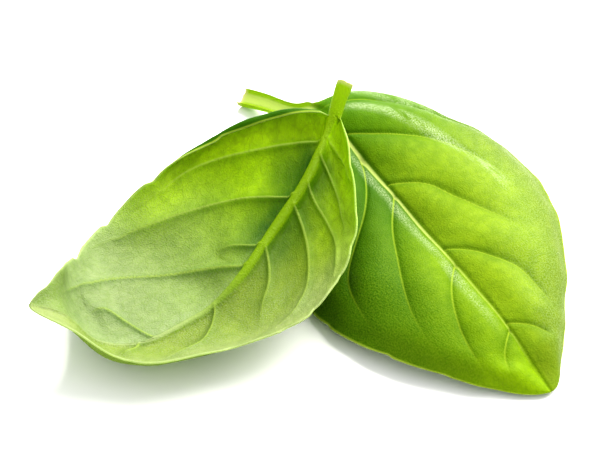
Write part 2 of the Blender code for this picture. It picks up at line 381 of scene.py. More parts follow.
def cord(leaf, t, sideways):
    """The petiole as a round cord with a groove along it: points of its upper side and of its underside."""
    middle, petiole_end = along_axis(leaf, t)
    ahead = unit(np.gradient(middle, axis=0))
    on_petiole = smooth_step(-TURN_SPREAD, TURN_SPREAD, -t)[:, None]
    up = plane_of(keyed(leaf["turn"], t))[1] * (1 - on_petiole)
    up = up + plane_of(np.array([leaf["petiole_turn"]], float))[1] * on_petiole
    up = unit(up - (up * ahead).sum(1, keepdims=True) * ahead)
    right = np.cross(ahead, up)
    up = up * leaf["upper_face"]
    middle = middle - up * PETIOLE_SINK
    flare = smooth_step(PETIOLE_FLARE_FROM, 1, t / petiole_end)[:, None]
    radius = leaf["petiole_radius"] + PETIOLE_FLARE * flare
    span = math.radians(PETIOLE_SPAN)
    part = np.clip(sideways / (leaf["petiole_radius"] * span), -1, 1)
    away = np.abs(part)
    under_side = np.sin(part * span) * radius, -np.cos(part * span) * radius
    spread = np.sin(away ** GROOVE_SPREAD * math.pi / 2) * np.sign(part)
    groove = GROOVE_DEPTH * (1 - smooth_step(GROOVE_FLAT, GROOVE_EDGE, away))
    rounding = PETIOLE_LIP * smooth_step(PETIOLE_LIP_FROM, 1.0, away)
    lip_height = PETIOLE_RIM + PETIOLE_LIP - math.cos(span) * radius
    upper_side = spread * math.sin(span) * (radius - PETIOLE_LIP_INSET), lip_height - groove - rounding
    return [middle[:, None] + x[..., None] * right[:, None] + y[..., None] * up[:, None]
            for x, y in (upper_side, under_side)]


def from_axis(leaf, points):
    """Each point's distance from the leaf's axis."""
    axis = axis_of(leaf)[0]
    tree = KDTree(len(axis))
    for number, place in enumerate(axis):
        tree.insert(place, number)
    tree.balance()
    distances = [tree.find(point)[2] for point in points.reshape(-1, 3)]
    return np.array(distances).reshape(points.shape[:2])


# ---- Veins and relief ----
def slopes(field, surface):
    """How fast a field changes along the surface, per millimetre, and the rows its steepest way crosses."""
    field_rows, field_columns = np.gradient(field)
    rows = np.stack([np.gradient(surface[..., k], axis=0) for k in range(3)], -1)
    columns = np.stack([np.gradient(surface[..., k], axis=1) for k in range(3)], -1)
    row_row = (rows * rows).sum(-1)
    row_column = (rows * columns).sum(-1)
    column_column = (columns * columns).sum(-1)
    area = np.maximum(row_row * column_column - row_column ** 2, 1e-12)
    across_rows = (column_column * field_rows - row_column * field_columns) / area
    across_columns = (row_row * field_columns - row_column * field_rows) / area
    square = np.maximum(across_rows * field_rows + across_columns * field_columns, 1e-10)
    return np.sqrt(square), across_rows / square


def vein_place(vein, t):
    """The c of a side vein at each t. Ahead of its start it is below 0, and past its end it runs on."""
    knots = np.array(vein, float)
    start_slope = (knots[1, 1] - knots[0, 1]) / (knots[1, 0] - knots[0, 0])
    end_slope = (knots[-1, 1] - knots[-2, 1]) / (knots[-1, 0] - knots[-2, 0])
    inside = np.clip(t, knots[0, 0], knots[-1, 0])
    place = spline(knots[:, 0], knots[:, 1], inside)[:, 0]
    place += start_slope * np.minimum(t - knots[0, 0], 0)
    return place + VEIN_RUNS_ON * end_slope * np.maximum(t - knots[-1, 0], 0)


def vein_strength(vein, t):
    """1 where a side vein starts, and 0 before its start and past its end."""
    progress = (t - vein[0][0]) / (vein[-1][0] - vein[0][0])
    started = smooth_step(*VEIN_STARTS, progress)
    weakening = 1 - (1 - VEIN_FADES_TO) * np.clip(progress, 0, 1)
    return started * weakening * (1 - smooth_step(*VEIN_ENDS, progress))


def vein_numbers(places, c):
    """A number over one half: whole on each side vein's line, and growing from the first vein inwards."""
    count = len(places)
    number = np.full(c.shape, -END_NUMBER)
    outermost = np.maximum(BEYOND_MARGIN, places[0] + BEYOND_FIRST_VEIN)
    bounds = np.vstack([outermost, places, places[-1] - BEHIND_LAST_VEIN])
    numbers = np.concatenate([[-END_NUMBER], np.arange(count), [count - 1 + END_NUMBER]])
    for k in range(count + 1):
        outer = bounds[k][:, None]
        inner = np.minimum(bounds[k + 1][:, None], outer - LEAST_STEP)
        part = np.clip((outer - c) / (outer - inner), 0, 1)
        inside = (c <= outer) if k else np.ones(c.shape, bool)
        number = np.where(inside, between(numbers[k], numbers[k + 1], part), number)
    return number


def half_relief(leaf, side, t, across, surface):
    """Fields over one half: the side veins' ridges, the swelling between them, and what draws their lines."""
    veins = leaf[side]["veins"]
    c = np.broadcast_to(across, (len(t), len(across)))
    places = np.array([vein_place(vein, t) for vein in veins])
    ridge = np.zeros(c.shape)
    hollow = np.ones(c.shape)
    strengths = []
    row_numbers = np.arange(len(t))[:, None]
    for vein, place in zip(veins, places):
        offset = c - place[:, None]
        steepness, rows_crossed = slopes(offset, surface)
        away = np.abs(offset) / steepness
        beside = np.interp(row_numbers - offset * rows_crossed, row_numbers[:, 0], t)
        strength = vein_strength(vein, beside)
        strengths.append(strength)
        width = VEIN_HALF_WIDTH * between(VEIN_LEAST_WIDTH, 1, strength)
        ridge = np.maximum(ridge, strength * bump_at(away, width, 2))
        held_down = np.minimum(1, BULGE_HELD_DOWN * strength)
        hollow *= 1 - held_down * bump_at(away, BULGE_REACH, BULGE_SHARPNESS)
    number = vein_numbers(places, c)
    nearest = np.clip(np.round(number), 0, len(veins) - 1).astype(int)
    strength_near = np.take_along_axis(np.array(strengths), nearest[None], axis=0)[0]
    pitch = np.clip(1 / slopes(number, surface)[0], 0, LARGEST_PITCH)
    return ridge, hollow, number, pitch, strength_near


def waves(x, y, length, seed):
    """A smooth uneven field of about unit height, made of a few plane waves."""
    draw = np.random.default_rng(seed)
    total = np.zeros(np.broadcast(x, y).shape)
    for _ in range(WAVE_COUNT):
        heading = draw.uniform(0, math.tau)
        phase = draw.uniform(0, math.tau)
        stretch = draw.uniform(*WAVE_STRETCH)
        forwards = x * math.cos(heading) + y * math.sin(heading)
        total += np.sin(forwards * math.tau / (length * stretch) + phase)
    return total / WAVES_HEIGHT


def normals_of(surface):
    rows = np.stack([np.gradient(surface[..., k], axis=0) for k in range(3)], -1)
    columns = np.stack([np.gradient(surface[..., k], axis=1) for k in range(3)], -1)
    return unit(np.cross(columns, rows))


def evened(grid, rounds):
    """A grid of vectors, each averaged a few times with its four neighbours."""
    for _ in range(rounds):
        wide = np.pad(grid, ((1, 1), (1, 1), (0, 0)), "edge")
        grid = (2 * grid + wide[:-2, 1:-1] + wide[2:, 1:-1] + wide[1:-1, :-2] + wide[1:-1, 2:]) / 6
    return grid


def both_halves(left, right):
    """Two halves' fields joined at the midrib, from the left margin to the right one."""
    return np.concatenate([left[:, :0:-1], right], axis=1)


def mesh_places(leaf):
    """The t of each row of the mesh and the place across a half of each column, closer near their ends."""
    petiole_end = axis_of(leaf)[1][0]
    petiole_rows = round(-petiole_end * leaf["blade_length"] / ROW_STEP_ON_PETIOLE)
    even_rows = np.linspace(0, 1, ROWS - petiole_rows)
    eased_rows = 0.5 - 0.5 * np.cos(np.pi * even_rows)
    blade_t = LAST_T * (EVEN_ROWS * even_rows + (1 - EVEN_ROWS) * eased_rows)
    even = np.linspace(0, 1, SIDE_COLUMNS + 1)
    across = EVEN_COLUMNS * even + (1 - EVEN_COLUMNS) * smooth_step(0, 1, even)
    return np.concatenate([np.linspace(petiole_end, 0, petiole_rows + 1)[:-1], blade_t]), across


def fields_of(leaf, t, across):
    """The leaf's plain surface, and the fields over it that its relief and its materials are made from."""
    halves = []
    for side in ("left", "right"):
        surface = half_sheet(leaf, side, t, across)
        width = half_width(leaf, side, t)[:, None]
        sign = 1 if side == "right" else -1
        halves.append((surface, *half_relief(leaf, side, t, across, surface), sign * width * across,
                       width * (1 - across)))
    names = ("surface", "ridge", "hollow", "number", "pitch", "strength", "sideways", "margin")
    grids = SimpleNamespace(**{name: both_halves(*pair) for name, pair in zip(names, zip(*halves))})
    grids.t = np.broadcast_to(t[:, None], grids.number.shape)
    grids.along = grids.t * leaf["blade_length"]
    grids.from_midrib = np.abs(grids.sideways)
    grids.inside = np.clip(grids.t, 0, 1)
    grids.on_blade = smooth_step(0.0, RELIEF_STARTS_BY, grids.t)
    return grids


def raised_by(leaf, grids, seed):
    """How far the blade stands out to its upper face: it swells between the veins and is a little uneven."""
    beside_midrib = 1 - bump_at(grids.from_midrib, BULGE_REACH, 1.5)
    at_margin = between(BULGE_AT_MARGIN, 1, 1 - bump_at(grids.margin, MARGIN_REACH, 2))
    swelling = leaf["bulge"] * (grids.hollow * beside_midrib * at_margin - BULGE_SINK)
    uneven = sum(height * waves(grids.along, grids.sideways, length, seed + number)
                 for number, (height, length) in enumerate(UNEVEN))
    height, length = RIPPLE
    ripple = height * waves(grids.along, grids.sideways, length, seed + len(UNEVEN))
    ripple *= bump_at(grids.margin, RIPPLE_REACH, 2)
    near_tip = 1 - smooth_step(RELIEF_ENDS_FROM, 1.0, grids.t)
    return (swelling + uneven + ripple) * grids.on_blade * near_tip


def thickness_of(leaf, grids):
    """The blade's thickness with its midrib and side ridges, and the depth of its upper face's grooves."""
    inside = grids.inside
    midrib_width = between(MIDRIB_HALF_WIDTH, MIDRIB_HALF_WIDTH_AT_TIP, inside)
    midrib = bump_at(from_axis(leaf, grids.surface), midrib_width, 3)
    midrib *= between(MIDRIB_HEIGHT, MIDRIB_HEIGHT_AT_TIP, inside)
    veins = grids.ridge * grids.on_blade * (1 - RIDGES_LOSE * inside)
    side_ridges = VEIN_RIDGE * veins * (1 - bump_at(grids.from_midrib, RIDGES_START_WITHIN, 2))
    full = 1 - bump_at(grids.margin, MARGIN_THINS_WITHIN, 1)
    blade = between(MARGIN_THICKNESS, BLADE_THICKNESS, full)
    thickness = blade + midrib + side_ridges
    groove_width = MIDRIB_GROOVE_HALF_WIDTH * (1 - MIDRIB_GROOVE_NARROWS * inside)
    groove = MIDRIB_GROOVE * bump_at(grids.from_midrib, groove_width, 2) * (1 - MIDRIB_GROOVE_LOSES * inside)
    groove = groove + VEIN_GROOVE * veins
    return thickness, np.minimum(groove, LARGEST_GROOVE * (thickness - LEAST_THICKNESS))


def leaf_faces(leaf, seed):
    """The leaf's two faces as grids of points, and the facts that its materials need at each point."""
    t, across = mesh_places(leaf)
    grids = fields_of(leaf, t, across)
    up = normals_of(grids.surface) * leaf["upper_face"]
    body = grids.surface + up * raised_by(leaf, grids, seed)[..., None]
    if leaf["upper_face"] < 0:
        body[..., 2] = kept_above_floor(body[..., 2])
    up = unit(evened(normals_of(body), SMOOTHING_ROUNDS)) * leaf["upper_face"]
    thickness, groove = thickness_of(leaf, grids)
    upper = body - up * groove[..., None]
    under = body - up * thickness[..., None]

    # The cord takes over on the petiole, and runs on furthest along the midrib
    runs_on = CORD_RUNS_ON * (1 - smooth_step(*CORD_RUNS_ON_WITHIN, grids.from_midrib))
    as_cord = 1 - smooth_step(CORD_BLENDS_FROM, CORD_BLENDS_BY + runs_on, grids.t)[..., None]
    cord_upper, cord_under = cord(leaf, t, grids.sideways)
    upper = between(upper, cord_upper, as_cord)
    under = between(under, cord_under, as_cord)
    lower = upper if leaf["upper_face"] < 0 else under
    lower[..., 2] = np.maximum(lower[..., 2], 0.0)
    facts = {
        "leaf_place": np.stack([grids.along, grids.sideways, grids.t], -1),
        "vein_lines": np.stack([grids.number, grids.pitch, grids.strength * grids.on_blade], -1),
        "leaf_zones": np.stack([grids.margin, grids.from_midrib, grids.along - grids.along[0]], -1),
    }
    return upper, under, facts


def kept_above_floor(z):
    """z kept above 0, with a smooth passage."""
    above = z / FLOOR_SOFTNESS
    return FLOOR_SOFTNESS * np.where(above > 8, above, np.log1p(np.exp(np.minimum(above, 8))))


def roughen_cut(upper, under, seed):
    """The petiole's cut end is a little slanted and torn, with one lip left standing."""
    place = np.linspace(-1, 1, upper.shape[1])
    draw = np.random.default_rng(seed)
    tear = sum(height * np.sin(place * turns + draw.uniform(0, 6)) for height, turns in TEARS)
    lip = TORN_LIP["height"] * bump_at(place - TORN_LIP["place"], TORN_LIP["width"], 2)
    backwards = upper[0] - upper[1]
    backwards /= np.linalg.norm(backwards, axis=1, keepdims=True)
    under_amount = tear * TORN_UNDERSIDE["tear"] + lip * TORN_UNDERSIDE["lip"]
    for face, amount in ((upper, tear + lip), (under, under_amount)):
        for row, share in enumerate(TORN_ROWS):
            face[row] += backwards * (amount * share)[:, None]


# ---- The mesh ----
def end_cap(top, bottom, rims, line):
    """Faces that close one end of the leaf, from its two faces' last points to a middle line of points."""
    steps = range(len(line) - 1)
    faces = [(top[k + 1], top[k], line[k], line[k + 1]) for k in steps]
    faces += [(line[k + 1], line[k], bottom[k], bottom[k + 1]) for k in steps]
    left_rim, right_rim = rims
    faces += [(top[0], left_rim, line[0]), (left_rim, bottom[0], line[0])]
    faces += [(right_rim, top[-1], line[-1]), (bottom[-1], right_rim, line[-1])]
    return [tuple(int(point) for point in face) for face in faces]


def leaf_mesh(leaf, materials, seed):
    """The leaf as one closed mesh: rings of points from its cut end to its tip, and a cap at each end."""
    upper, under, facts = leaf_faces(leaf, seed)
    roughen_cut(upper, under, seed)
    rows, columns = upper.shape[:2]
    rim_left = rim_points(upper[:, 0], under[:, 0], upper[:, 1])
    rim_right = rim_points(upper[:, -1], under[:, -1], upper[:, -2])
    ring = np.concatenate([upper, rim_right[:, None], under[:, ::-1], rim_left[:, None]], axis=1)
    points = ring.reshape(-1, 3)
    around = ring.shape[1]
    index = np.arange(rows * around).reshape(rows, around)
    after = np.roll(index, -1, axis=1)
    quads = np.stack([index[:-1], after[:-1], after[1:], index[1:]], -1)
    kinds = np.full((rows - 1, around), FACE_UNDER)
    kinds[:, :columns - 1] = FACE_UPPER

    # Each end is closed through a middle line of points, sunk a little into the petiole at its cut
    caps = []
    for row, next_row, inwards in ((0, 1, CUT_HOLLOW), (rows - 1, rows - 2, 0.0)):
        along = unit(ring[next_row] - ring[row])
        line = len(points) + np.arange(columns)
        points = np.vstack([points, (upper[row] + under[row]) / 2 + along[:columns] * inwards])
        bottom = index[row, columns + 1:-1][::-1]
        faces = end_cap(index[row, :columns], bottom, (index[row, -1], index[row, columns]), line)
        caps += faces if row == 0 else [face[::-1] for face in faces]
    faces = quads.reshape(-1, 4).tolist() + caps
    if leaf["upper_face"] < 0:
        faces = [face[::-1] for face in faces]

    mesh = bpy.data.meshes.new(leaf["node"] + "_visual")
    mesh.from_pydata((points * MM).tolist(), [], faces)
    mesh.polygons.foreach_set("material_index", kinds.ravel().tolist() + [FACE_CUT] * len(caps))
    mesh.shade_smooth()
    for material in materials:
        mesh.materials.append(material)
    for name, grid in facts.items():
        values = np.concatenate([grid, grid[:, -1:], grid[:, ::-1], grid[:, :1]], axis=1).reshape(-1, 3)
        values = np.vstack([values, grid[0], grid[-1]])
        layer = mesh.attributes.new(name, "FLOAT_VECTOR", "POINT")
        layer.data.foreach_set("vector", values.astype(np.float32).ravel())
    mesh.validate()
    mesh.update()
    return linked(leaf["node"] + "_visual", mesh)


def linked(name, data):
    """A new object in the scene that holds the data."""
    thing = bpy.data.objects.new(name, data)
    bpy.context.scene.collection.objects.link(thing)
    return thing


def rim_points(upper, under, inside):
    """The rounded edge between the two faces: a line of points that stands out a little from both."""
    rim = (upper + under) / 2 + unit(upper - inside) * RIM_BULGE
    rim[:, 2] = np.maximum(rim[:, 2], 0.0)
    return rim


# ---- Materials ----
# Numbers of the mix node's colour sockets
MIX_COLOUR_A = 6
MIX_COLOUR_B = 7
MIX_COLOUR_RESULT = 2


class Nodes:
    """Short names for the nodes that the leaf materials are made of."""

    def __init__(self, name):
        self.material = bpy.data.materials.new(name)
        self.material.use_nodes = True
        self.tree = self.material.node_tree
        self.tree.nodes.clear()

    def put(self, socket, value):
        if isinstance(value, bpy.types.NodeSocket):
            self.tree.links.new(value, socket)
        elif isinstance(value, tuple) and len(value) == 3 and len(socket.default_value) == 4:
            socket.default_value = (*value, 1)
        else:
            socket.default_value = value

    def attribute(self, name):
        node = self.tree.nodes.new("ShaderNodeAttribute")
        node.attribute_name = name
        return node.outputs["Vector"]

    def split(self, vector):
        node = self.tree.nodes.new("ShaderNodeSeparateXYZ")
        self.put(node.inputs[0], vector)
        return node.outputs

    def math(self, operation, *values):
        node = self.tree.nodes.new("ShaderNodeMath")
        node.operation = operation
        for socket, value in zip(node.inputs, values):
            self.put(socket, value)
        return node.outputs[0]

    def times(self, *values):
        product = values[0]
        for value in values[1:]:
            product = self.math("MULTIPLY", product, value)
        return product

    def plus(self, *values):
        total = values[0]
        for value in values[1:]:
            total = self.math("ADD", total, value)
        return total

    def away(self, value, middle):
        """How far the value is from the middle."""
        return self.math("ABSOLUTE", self.math("SUBTRACT", value, middle))

    def near(self, value, middle, full, ends):
        return self.fade(self.away(value, middle), full, ends)

    def fade(self, value, start, end):
        """1 where the value is at the start, 0 at the end, smooth between."""
        node = self.tree.nodes.new("ShaderNodeMapRange")
        node.interpolation_type = "SMOOTHSTEP"
        self.put(node.inputs["Value"], value)
        node.inputs["From Min"].default_value = min(start, end)
        node.inputs["From Max"].default_value = max(start, end)
        node.inputs["To Min"].default_value = 1 if start < end else 0
        node.inputs["To Max"].default_value = 0 if start < end else 1
        return node.outputs["Result"]

    def scaled(self, vector, x, y, z):
        node = self.tree.nodes.new("ShaderNodeVectorMath")
        node.operation = "MULTIPLY"
        self.put(node.inputs[0], vector)
        node.inputs[1].default_value = (x, y, z)
        return node.outputs[0]

    def add(self, kind, values):
        """A node of that kind, with the values put into its sockets of those names."""
        node = self.tree.nodes.new("ShaderNode" + kind)
        for name, value in values.items():
            self.put(node.inputs[name], value)
        return node

    def noise(self, vector, scale, detail, roughness):
        values = {"Vector": vector, "Scale": scale, "Detail": detail, "Roughness": roughness}
        return self.add("TexNoise", values).outputs["Fac"]

    def cells(self, vector, scale):
        """Distance to the nearest wall of a net of cells."""
        node = self.add("TexVoronoi", {"Vector": vector, "Scale": scale})
        node.feature = "DISTANCE_TO_EDGE"
        return node.outputs["Distance"]

    def mix(self, factor, a, b):
        """Colour a where the factor is 0, and b where it is 1."""
        node = self.tree.nodes.new("ShaderNodeMix")
        node.data_type = "RGBA"
        self.put(node.inputs["Factor"], factor)
        self.put(node.inputs[MIX_COLOUR_A], a)
        self.put(node.inputs[MIX_COLOUR_B], b)
        return node.outputs[MIX_COLOUR_RESULT]

    def bump(self, height, distance):
        return self.add("Bump", {"Height": height, "Distance": distance}).outputs[0]

    def surface(self, shader):
        self.add("OutputMaterial", {"Surface": shader.outputs[0]})


# A zone is a pair: the value at which it is full, and the one at which it ends. A line or patch is its
# middle, and the distances from there at which it is full and at which it ends. Lengths are in millimetres.
LEFT_HALF = (-0.9, 0.5)
LEFT_HALF_SHARE = 0.9
TOWARDS_TIP = (0.74, 0.25)
LAST_PART = (0.96, 0.84)
NEAR_BASE = (0.06, 0.40)
OUTER_EDGE = (1.5, 9.0)
# Painted shade beside the midrib: a darker band along it that wanders a little, over the middle part of the
# blade
BESIDE_MIDRIB = (4.0, 11.0)
BESIDE_MIDRIB_STARTS = (0.13, 0.05)
BESIDE_MIDRIB_WANDERS = 6.0
# Painted shade: on the upper face the right half darkens outwards, away from the midrib
OUTWARD = (10.5, 2.5)
OUTWARD_ALONG = (0.60, 1.05)
# Painted light: a glow of light shining through the blade inside the underside's right margin
GLOW_FROM_MARGIN = (3.0, 9.0)
GLOW_ALONG = (0.40, 0.60)
# Painted shade: a darker patch near the base of the underside's right half, where the other leaf lies beneath
# and keeps light from shining through
PATCH_ALONG = (0.19, 0.01, 0.08)
PATCH_ACROSS = (5.0, 0.5, 5.0)
BROAD_SHADE = {"zone": (0.62, 0.38), "share": 0.12}
PATCHY_SHADE = {"zone": (0.7, 0.3), "share": 0.28}
GRAINS = (0.66, 0.34)
SPECKS_ALONG = (0.60, 0.25)
# Reach of the painted shade beside the side veins
VEIN_SHADE_REACH = (0.0, 1.6)
MIDRIB_NARROWS_BY = 0.75
MIDRIB_ENDS = (0.78, 0.95)
MIDRIB_TIP = (0.70, 0.42)
RIM = (0.05, 0.40)
GROOVE = (0.35, 0.95)
DRY_RIM = {"zone": (0.1, 0.8), "share": 0.8}
PETIOLE = (-0.02, 0.03)
# Painted sheen: grainy pale streaks of colour that stand in for the gloss of the blade
SHEEN_BESIDE = {"line": (1.4, 0.0, 1.5), "across": (0.6, -0.6), "along": (0.72, 0.86), "share": 0.75}
SHEEN_BAND = {"line": (13.0, 0.2, 2.0), "moves_in": 10.0, "across": (-4.5, -1.5), "along": (0.40, 0.58)}
SHEEN_SHOULDER = {"margin": (5.5, 8.0), "across": (-6.0, -3.0), "along": (0.12, 0.32), "share": 0.65}
SHEEN_OUTER = {"margin": (5.0, 16.0), "across": (-6.0, -2.0), "along": (0.35, 0.15), "share": 0.24}
STREAKS = (0.55, 0.28)
STREAK_STRETCH = (0.22, 0.5, 0)

# Noises: scale per millimetre, detail and roughness
BROAD_NOISE = (0.11, 2.0, 0.55)
PATCHY_NOISE = (0.6, 4.0, 0.6)
GRAIN_NOISE = (4.5, 2.0, 0.6)
STREAK_NOISE = (1.0, 3.0, 0.6)

# The two nets of fine veins, and the shares of relief and roughness
NET_BEND = (1.6, 1.6, 0)
NET_BEND_SCALE = 0.5
NET_STRETCH = (0.8, 1.15, 0)
NET_SCALE = 0.62
NET_LINE = (0.0, 0.09)
FINE_NET_SCALE = 1.9
FINE_NET_LINE = (0.0, 0.12)
FINE_NET_SHARE = 0.5
GRAIN_RELIEF = 0.5
PATCHY_RELIEF = 0.6
PATCHY_ROUGHNESS = 0.2
VEIN_ROUGHNESS = 0.1


def read_places(n):
    """The places that the mesh carries for its materials, and the noises that are read at them."""
    p = SimpleNamespace()
    place = n.attribute("leaf_place")
    _, p.sideways, p.t = n.split(place)
    p.number, p.pitch, p.strength = n.split(n.attribute("vein_lines"))
    p.margin, p.from_midrib, p.from_cut = n.split(n.attribute("leaf_zones"))
    p.flat = n.scaled(place, 1, 1, 0)
    p.on_left = n.fade(p.sideways, *LEFT_HALF)
    p.on_right = n.math("SUBTRACT", 1.0, p.on_left)
    p.broad = n.noise(p.flat, *BROAD_NOISE)
    p.patchy = n.noise(p.flat, *PATCHY_NOISE)
    p.grain = n.noise(p.flat, *GRAIN_NOISE)
    p.grains = n.fade(p.grain, *GRAINS)
    p.towards_tip = n.fade(p.t, *SPECKS_ALONG)
    return p


def add_veins(n, look, p):
    """Lines of the side veins, with painted shade beside them, and of the midrib, which narrows towards the
    tip.
    """
    off_line = n.away(p.number, n.math("ROUND", p.number))
    vein_away = n.times(off_line, p.pitch)
    # The side veins' pale lines are their own colour, and on the underside also a painted highlight along
    # their ridges
    p.vein = n.times(n.fade(vein_away, look["vein_core"], look["vein_edge"]), p.strength)
    # Painted shade: darker colour beside each side vein, in the crease it makes
    p.vein_halo = n.times(n.fade(vein_away, *VEIN_SHADE_REACH), p.strength)
    midrib_reach = n.math("SUBTRACT", 1.0, n.times(p.t, MIDRIB_NARROWS_BY))
    midrib_away = n.math("DIVIDE", p.from_midrib, midrib_reach)
    midrib_line = n.fade(midrib_away, look["midrib_core"], look["midrib_edge"])
    p.midrib = n.times(midrib_line, n.fade(p.t, *MIDRIB_ENDS))


def add_net(n, p):
    """The net of fine veins, in two sizes, bent by a slow noise."""
    slow = n.add("TexNoise", {"Vector": p.flat, "Scale": NET_BEND_SCALE})
    bent = n.tree.nodes.new("ShaderNodeVectorMath")
    bent.operation = "ADD"
    n.put(bent.inputs[0], p.flat)
    n.put(bent.inputs[1], n.scaled(slow.outputs["Color"], *NET_BEND))
    p.net = n.fade(n.cells(n.scaled(bent.outputs[0], *NET_STRETCH), NET_SCALE), *NET_LINE)
    p.fine_net = n.fade(n.cells(bent.outputs[0], FINE_NET_SCALE), *FINE_NET_LINE)


def tissue_colour(n, look, p):
    """The blade's colour between its veins: how it changes over the blade, its painted light and shade, its
    random darker mottles and its specks.
    """
    # Paler towards the tip. Near the base the underside is painted bright yellow-green, partly the leaf's own
    # colour and partly painted light shining through the blade.
    colour = n.mix(n.fade(p.t, *TOWARDS_TIP), look["base_colour"], look["tip_colour"])
    colour = n.mix(n.fade(p.t, *LAST_PART), colour, look["last_colour"])
    # On the upper face the left half is painted lighter where it faces the lamp, and darker towards its
    # margin: painted light and shade. On the underside the left half turns paler towards its margin.
    left_colour = n.mix(n.fade(p.margin, *OUTER_EDGE), look["left_colour"], look["outer_colour"])
    colour = n.mix(n.times(p.on_left, LEFT_HALF_SHARE), colour, left_colour)
    colour = n.mix(n.fade(p.t, *NEAR_BASE), colour, look["near_base_colour"])

    wandering = n.plus(p.from_midrib, n.times(p.broad, BESIDE_MIDRIB_WANDERS))
    middle_part = n.times(n.fade(p.t, *look["dark_until"]), n.fade(p.t, *BESIDE_MIDRIB_STARTS))
    beside_midrib = n.times(n.fade(wandering, *BESIDE_MIDRIB), middle_part)
    left_share, right_share = look["beside_midrib"]
    share = n.plus(right_share, n.times(p.on_left, left_share - right_share))
    outward = n.times(n.fade(p.from_midrib, *OUTWARD), p.on_right, n.fade(p.t, *OUTWARD_ALONG))
    glow = n.times(n.fade(p.margin, *GLOW_FROM_MARGIN), n.fade(p.t, *GLOW_ALONG), p.on_right)
    patch = n.times(n.near(p.t, *PATCH_ALONG), n.near(p.sideways, *PATCH_ACROSS))
    # Painted shade beside the midrib, outwards and in a patch, painted light shining through near the right
    # margin, random darker mottles, and pale specks
    for amount, name in (
        (n.times(beside_midrib, share), "deep_colour"),
        (n.times(outward, look["dark_outward"]), "deep_colour"),
        (n.times(glow, look["glow"]), "through_colour"),
        (n.times(patch, look["dark_patch"]), "deep_colour"),
        (n.times(n.fade(p.broad, *BROAD_SHADE["zone"]), BROAD_SHADE["share"]), "deep_colour"),
        (n.times(n.fade(p.patchy, *PATCHY_SHADE["zone"]), PATCHY_SHADE["share"]), "deep_colour"),
        (n.times(p.grains, look["grain"], p.towards_tip), "speck_colour"),
    ):
        colour = n.mix(amount, colour, look[name])
    return colour


def spread(n, p, part):
    """Where a part of the painted sheen lies, across the leaf and along it."""
    return n.times(n.fade(p.sideways, *part["across"]), n.fade(p.t, *part["along"]))


def sheen_share(n, look, p):
    """Painted sheen: grainy pale streaks beside the midrib and in a band inside the left margin, and thinner
    outside.
    """
    beside = n.times(n.near(p.from_midrib, *SHEEN_BESIDE["line"]), spread(n, p, SHEEN_BESIDE),
                     SHEEN_BESIDE["share"])
    band_place = n.plus(p.margin, n.times(p.t, SHEEN_BAND["moves_in"]))
    band = n.times(n.near(band_place, *SHEEN_BAND["line"]), spread(n, p, SHEEN_BAND))
    shoulder, outer = (n.times(n.fade(p.margin, *part["margin"]), spread(n, p, part), part["share"])
                       for part in (SHEEN_SHOULDER, SHEEN_OUTER))
    streaks = n.fade(n.noise(n.scaled(p.flat, *STREAK_STRETCH), *STREAK_NOISE), *STREAKS)
    streaked = n.math("MAXIMUM", beside, n.math("MAXIMUM", band, shoulder))
    sheen = n.math("MAXIMUM", n.times(streaked, streaks), outer)
    sheen = n.times(sheen, p.grains, look["sheen"])
    if look["sheen_towards_tip"]:
        sheen = n.times(sheen, p.towards_tip)
    return sheen


def petiole_colour(n, look, p):
    """The petiole, with a paler groove on the upper face, and a dry rim at its cut."""
    colour = n.mix(n.fade(p.from_midrib, *GROOVE), look["petiole_colour"], look["groove_colour"])
    dry = n.times(n.fade(p.from_cut, *DRY_RIM["zone"]), DRY_RIM["share"])
    return n.mix(dry, colour, DRY_RIM_COLOUR)


def leaf_material(name, look):
    """One face of a leaf. Its patterns lie in the leaf's own coordinates, in millimetres."""
    n = Nodes(name)
    p = read_places(n)
    add_veins(n, look, p)
    add_net(n, p)
    colour = tissue_colour(n, look, p)
    midrib_colour = n.mix(n.fade(p.t, *MIDRIB_TIP), look["midrib_colour"], look["midrib_tip_colour"])
    for amount, over in (
        (n.times(p.net, look["net"]), look["net_colour"]),
        (n.times(p.fine_net, look["net"] * FINE_NET_SHARE), look["net_colour"]),
        (n.times(p.vein_halo, look["halo"]), look["deep_colour"]),
        # painted sheen
        (sheen_share(n, look, p), look["sheen_colour"]),
        (n.times(p.vein, look["vein"]), look["vein_colour"]),
        (n.times(p.midrib, look["midrib"]), midrib_colour),
        # a pale line along the margin: partly the edge's own colour, partly painted sheen where the edge
        # catches the light
        (n.times(n.fade(p.margin, *RIM), look["rim"]), look["rim_colour"]),
        (n.fade(p.t, *PETIOLE), petiole_colour(n, look, p)),
    ):
        colour = n.mix(amount, colour, over)

    # Fine relief and gloss
    relief = n.plus(n.times(p.grain, GRAIN_RELIEF), n.times(p.patchy, PATCHY_RELIEF),
                    n.times(p.net, look["net_relief"]),
                    n.times(p.fine_net, look["net_relief"] * FINE_NET_SHARE))
    normal = n.bump(relief, look["relief"] * MM)
    rough = n.plus(look["roughness"] - PATCHY_ROUGHNESS / 2, n.times(p.patchy, PATCHY_ROUGHNESS),
                   n.times(p.vein, VEIN_ROUGHNESS))

    skin = n.add("BsdfPrincipled", {
        "Base Color": colour, "Roughness": rough, "Normal": normal,
        "Specular IOR Level": look["specular"], "Specular Tint": look["gloss_colour"],
    })
    shining_through = n.mix(look["through_own"], look["through_colour"], colour)
    through = n.add("BsdfTranslucent", {"Color": shining_through, "Normal": normal})
    both = n.tree.nodes.new("ShaderNodeMixShader")
    both.inputs[0].default_value = look["through"]
    n.put(both.inputs[1], skin.outputs[0])
    n.put(both.inputs[2], through.outputs[0])
    n.surface(both)
    return n.material


